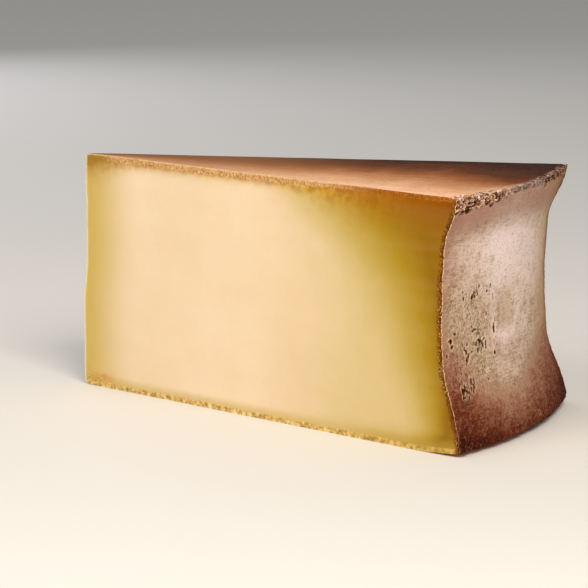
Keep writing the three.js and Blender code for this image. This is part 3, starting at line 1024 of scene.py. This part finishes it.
# Lumps of the crumbled rim: dark in the gaps between them as painted shade, pale on their crests.
lump_gap_shade_stops = {0: "#3C1806", 0.2: "#74472A", 0.45: "#AE876C", 0.75: "#D5B49A", 1: "#EAD3BC"}
skin = add(tree, "ValToRGB", [bloom_sheen_here], stops=bloom_sheen_stops)
russet_shade_colour = add(tree, "ValToRGB", [russet_shade_wave], stops=russet_shade_stops)
lump_gap_shade_colour = crumbled_colour_with_gap_shade(tree, fine, share["lump"], grey_rim, lump_gap_shade_stops)
shade_colour = add(tree, "Mix", {0: russet_shade_here, 6: "#62402A", 7: "#3E160A"}, **COLOURS)
flake_colour = add(tree, "Mix", {0: russet_shade_here, 6: "#E2CCB2", 7: "#B08470"}, **COLOURS)
for here, colour in (
    (straw_here, "#B59C74"),
    (share["mauve"], "#A47A6B"),
    (edge, "#8F6352"),
    # Painted shade towards the back cut and under the lip.
    (far_shade, "#BC9A70"),
    (furthest_shade, "#70502A"),
    (lip_shade, "#5A3422"),
    (russet_shade_here, russet_shade_colour),
    (print_here, "#6E4A3A"),
    (scale_dark, shade_colour),
    (scale_pale, flake_colour),
    (speck, "#7A553E"),
    (share["crumble"], lump_gap_shade_colour),
    (share["lilac"], "#BAA7A4"),
    # A painted highlight on the pits' rims, then their dark contents with painted shade of their depth.
    (share["pit_rim"], "#E2C8A8"),
    (pit_here, "#341400"),
):
    skin = add(tree, "Mix", {0: here, 6: skin, 7: colour}, **COLOURS)

crust = add(tree, "Math", [wrinkle, unstained, fine], **TIMES_PLUS)
crust = add(tree, "Math", [print_here, 0.6, crust], **TIMES_PLUS)
look = {"Specular IOR Level": 0.02, "Subsurface Weight": 0.06, "Subsurface Scale": 2 * MM}
finish(tree, skin, 0.72, crust, (0.6, 0.6), look)
print("heel rind has", len(tree.nodes), "nodes")

# %% [markdown]
# The rind of the top and of the underside lay on boards and was washed with brine for months.
# It is smoother than the heel, with pinkish clouds and fine streaks left by the brush. Its tan
# is palest by the front cut and the rim there, and painted shade darkens it towards the centre,
# further back, and by the rim further back.

# %% The rind of the top and the underside
names = ("radius", "across", "crumble", "lump", "flaky", "lilac")
flat_rind, tree, place, share, (cloud, spots, fine) = new_material(
    "washed_rind", names, [(30, 5, 0.6), (6, 5, 0.65), (1.6, 5, 0.65)]
)
brush_place = add(tree, "Mapping", {0: place, 2: (0, 0, -0.1), 3: (0.1, 1, 1)})
brush = add(tree, "TexNoise", {"Vector": brush_place, "Scale": grains(5), "Detail": 4})

# The first two ramps set painted shade: darker by the rim further back, and further back.
rim_shade, shade_further_back, grey_rim, streaks, flecks, flaked = [
    add(tree, "MapRange", [followed, start, end, first, last])
    for followed, start, end, first, last in (
        (share["radius"], 222, 274, 0, 0.18),
        (share["across"], 0.1, 0.45, 0, 1),
        (share["across"], 0.28, 0.4, 0, 1),
        (brush, 0.45, 0.65, 0, 0.12),
        (fine, 0.53, 0.68, 0, 0.4),
        (fine, 0.42, 0.56, 0.1, 1),
    )
]
# Painted shade towards the wheel's centre.
inner_shade = add(tree, "MapRange", [share["radius"], 80, 200, 0.6, 0], **SOFT)
for name, limit in (("flaky", flaked), ("crumble", 1.5), ("lilac", flaked)):
    share[name] = add(tree, "Math", [share[name], limit], use_clamp=True, **TIMES)

# Painted shade: the tan darkens towards the back cut.
shade_to_back = waved(tree, share["across"], [(cloud, 0.3), (brush, 0.1), (spots, 0.2)])
shade_to_back = add(tree, "Math", [rim_shade, shade_further_back, shade_to_back], **TIMES_PLUS)
tan_and_shade_stops = {
    0: "#E8B890", 0.12: "#D8A67E", 0.3: "#BC855A", 0.5: "#8A5229", 0.71: "#54290D", 1: "#281105",
}
# Lumps of the crumbled rim: dark in the gaps between them as painted shade, pale on their crests.
lump_gap_shade_stops = {0: "#44230E", 0.2: "#7C5238", 0.45: "#B69078", 0.75: "#DABCA4", 1: "#EAD4C0"}
tan_and_shade = add(tree, "ValToRGB", [shade_to_back], stops=tan_and_shade_stops)
lump_gap_shade_colour = crumbled_colour_with_gap_shade(tree, fine, share["lump"], grey_rim, lump_gap_shade_stops)
for here, colour in (
    (inner_shade, "#94643A"),
    (streaks, "#8A5836"),
    (flecks, "#8A4A2C"),
    (share["flaky"], "#D2B4A2"),
    (share["crumble"], lump_gap_shade_colour),
    (share["lilac"], "#BAA7A8"),
):
    tan_and_shade = add(tree, "Mix", {0: here, 6: tan_and_shade, 7: colour}, **COLOURS)

crust = add(tree, "Math", [brush, 0.4, fine], **TIMES_PLUS)
finish(tree, tan_and_shade, 0.62, crust, (0.4, 0.4), {"Specular IOR Level": 0.04})
print("flat rind has", len(tree.nodes), "nodes")

# %% [markdown]
# Crumbs of rind are cream to brown, and crumbs of paste are pale and a little glossy. Each
# crumb has a tone of its own, drawn when it was scattered, and the material turns the tone
# into a colour, so that no two neighbours look alike.

# %% The crumbs' materials
def crumb_material(name, stops, roughness):
    """Dry, grainy crumb: its colour is a ramp over the crumb's own tone, mottled by fine noise."""
    material, tree, _, share, (fine,) = new_material(name, ["tone"], [(0.9, 3, 0.5)])
    mixed = add(tree, "Math", [fine, 0.5, share["tone"]], **TIMES_PLUS)
    mixed = add(tree, "MapRange", [mixed, -0.1, 1.25])
    colour = add(tree, "ValToRGB", [mixed], stops=stops)
    look = {"Specular IOR Level": 0.2, "Subsurface Weight": 0.1, "Subsurface Scale": 2 * MM}
    finish(tree, colour, roughness, fine, (0.6, 0.4), look)
    return material


rind_stops = {
    0: "#481A0C", 0.2: "#6C4430", 0.45: "#987662", 0.7: "#C09C84", 0.88: "#DABCA4", 1: "#EAD5C0",
}
paste_stops = {0: "#8E6624", 0.3: "#AC863C", 0.65: "#C8A660", 1: "#DFC68E"}
rind_crumb = crumb_material("rind_crumb", rind_stops, roughness=0.75)
paste_crumb = crumb_material("paste_crumb", paste_stops, roughness=0.5)
print("crumbs:", rind_crumb.name, "and", paste_crumb.name)

# %% [markdown]
# Now the pieces are made. The skin replaces the plain solid and rides on the same body, and so
# do the crumbs, which go wherever the cheese goes.

# %% Make the skin
# Edges sharper than this, in degrees, are shaded sharp.
SKIN_SHARP = 38
CRUMB_SHARP = 50
wedge = mesh_object("wedge_skin", places, packed, fields, [paste, heel_rind, flat_rind], slots)
wedge.data.set_sharp_from_angle(angle=math.radians(SKIN_SHARP))
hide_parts("cheese_wedge")
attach(wedge, "root")

# %% Make the rim's crumbs
draw = np.random.default_rng(77)
BAND_TOP = 9


def rim_chance(out, across, up):
    """Chance of a crumb at a place: the crumbled band's strength there."""
    rim = heel_radius(up * HEIGHT, across)
    along = across * WEDGE_ANGLE * rim
    return crumble_share(rim * (1 - out), HEIGHT * (1 - up), along)


def toned(group, spread, shift):
    """The group with its tones drawn together and moved towards dark or pale."""
    middles, sizes, tones = group
    return middles, sizes, tones * spread + shift


# Each call gives the number, the shares out, across and up, the sizes in mm and the lift.
band_up = (1 - BAND_TOP / HEIGHT, 1)
band_out = (1 - BAND_TOP / TOP_EDGE, 1)
NEAR = (0.004, 0.35)
FAR = (0.28, 1)
groups = [
    scatter(draw, 330, 1, NEAR, band_up, (0.5, 1.7), -0.1, rim_chance),
    scatter(draw, 280, band_out, NEAR, 1, (0.5, 1.5), -0.1, rim_chance),
    toned(scatter(draw, 420, 1, FAR, band_up, (0.4, 1.4), -0.1, rim_chance), 0.6, -0.1),
    toned(scatter(draw, 420, band_out, FAR, 1, (0.4, 1.5), -0.1, rim_chance), 0.6, -0.1),
    toned(scatter(draw, 70, 1, (0, 1), (0.004, 0.03), (0.4, 1.1), -0.2), 0.25, -0.3),
]
rim_crumbs = crumb_piece("rim_crumbs", draw, groups, rind_crumb)
rim_crumbs.data.set_sharp_from_angle(angle=math.radians(CRUMB_SHARP))
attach(rim_crumbs, "root")

# %% Make the crumbs along the cuts
SIDES_APART = 100


def clumps(seed, grain, above=1.0):
    """The chance of a crumb as a function of its place: it comes and goes along the edges with a
    noise of the grain in mm, and it is above times as great in the upper half."""

    def chance(out, across, up):
        places = points(out * TOP_EDGE, across * SIDES_APART, up * HEIGHT)
        there = smooth(noise(places, grain, seed), -0.25, 0.45)
        return there * (1 - (1 - above) * smooth(up, 0.3, 0.5))

    return chance


STRIP_WIDTH = 3.4
MEAN_RADIUS = 280
strip_out = (1 - STRIP_WIDTH / MEAN_RADIUS, 0.999)
by_heel = clumps(71, 6, above=0.4)
by_foot = clumps(72, 4)
groups = []
for side in (0, 1):
    groups += [
        scatter(draw, 340, strip_out, side, (0.02, 0.94), (0.25, 0.75), 0, by_heel),
        scatter(draw, 560, (0.01, 0.99), side, (0.002, 0.022), (0.3, 1.2), -0.3, by_foot),
        scatter(draw, 60, (0.01, 0.06), side, (0.01, 0.05), (0.3, 1)),
    ]
cut_crumbs = crumb_piece("cut_crumbs", draw, groups, paste_crumb)
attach(cut_crumbs, "root")

# %% [markdown]
# The set is plain: a pale, matt floor that runs past the picture's edges, a big soft light on
# the camera's side of the cheese, a weaker one from the left, a faint one from behind for the
# back cut, and a dim even sky. The main light is low, so the cut face is bright while the top,
# which it grazes, stays darker.

# %% Floor, lights and sky
def soft_light(name, azimuth, elevation, distance, size, power, colour):
    """A square area light that faces the middle of the cheese. Azimuth 0 is in front of it,
    on the -Y side, and 90 is towards the heel."""
    data = bpy.data.lights.new(name, "AREA")
    data.shape = "SQUARE"
    data.size = size
    data.energy = power
    data.color = linear(colour)[:3]
    light = bpy.data.objects.new(name, data)
    bpy.context.scene.collection.objects.link(light)
    a, e = math.radians(azimuth), math.radians(elevation)
    away = Vector((math.sin(a) * math.cos(e), -math.cos(a) * math.cos(e), math.sin(e)))
    target = Vector((0, 0, HEIGHT / 2 * MM))
    light.location = target + away * distance
    light.rotation_euler = away.to_track_quat("Z", "Y").to_euler()
    return light


FLOOR_HALF = 8
floor_mesh = bpy.data.meshes.new("floor")
floor_corners = [(x * FLOOR_HALF, y * FLOOR_HALF, 0) for x, y in ((-1, -1), (1, -1), (1, 1), (-1, 1))]
floor_mesh.from_pydata(floor_corners, [], [(0, 1, 2, 3)])
floor = bpy.data.objects.new("floor", floor_mesh)
bpy.context.scene.collection.objects.link(floor)
floor_paint = bpy.data.materials.new("pale_floor")
floor_paint.use_nodes = True
paint = floor_paint.node_tree.nodes["Principled BSDF"].inputs
paint["Base Color"].default_value = linear("#D9D5CE")
paint["Roughness"].default_value = 0.8
floor_mesh.materials.append(floor_paint)

soft_light("main_light", azimuth=42, elevation=38, distance=1.9, size=0.9, power=34, colour="#FFF6EA")
soft_light("front_light", azimuth=-18, elevation=38, distance=2.1, size=1.2, power=20, colour="#FFFAF2")
soft_light("back_light", azimuth=232, elevation=20, distance=2.2, size=1.2, power=9, colour="#F2F4FF")
sky = bpy.data.worlds.new("sky")
bpy.context.scene.world = sky
sky.use_nodes = True
background = sky.node_tree.nodes["Background"].inputs
background["Color"].default_value = linear("#EEF1F5")
background["Strength"].default_value = 0.4
bpy.context.scene.view_settings.view_transform = "Standard"
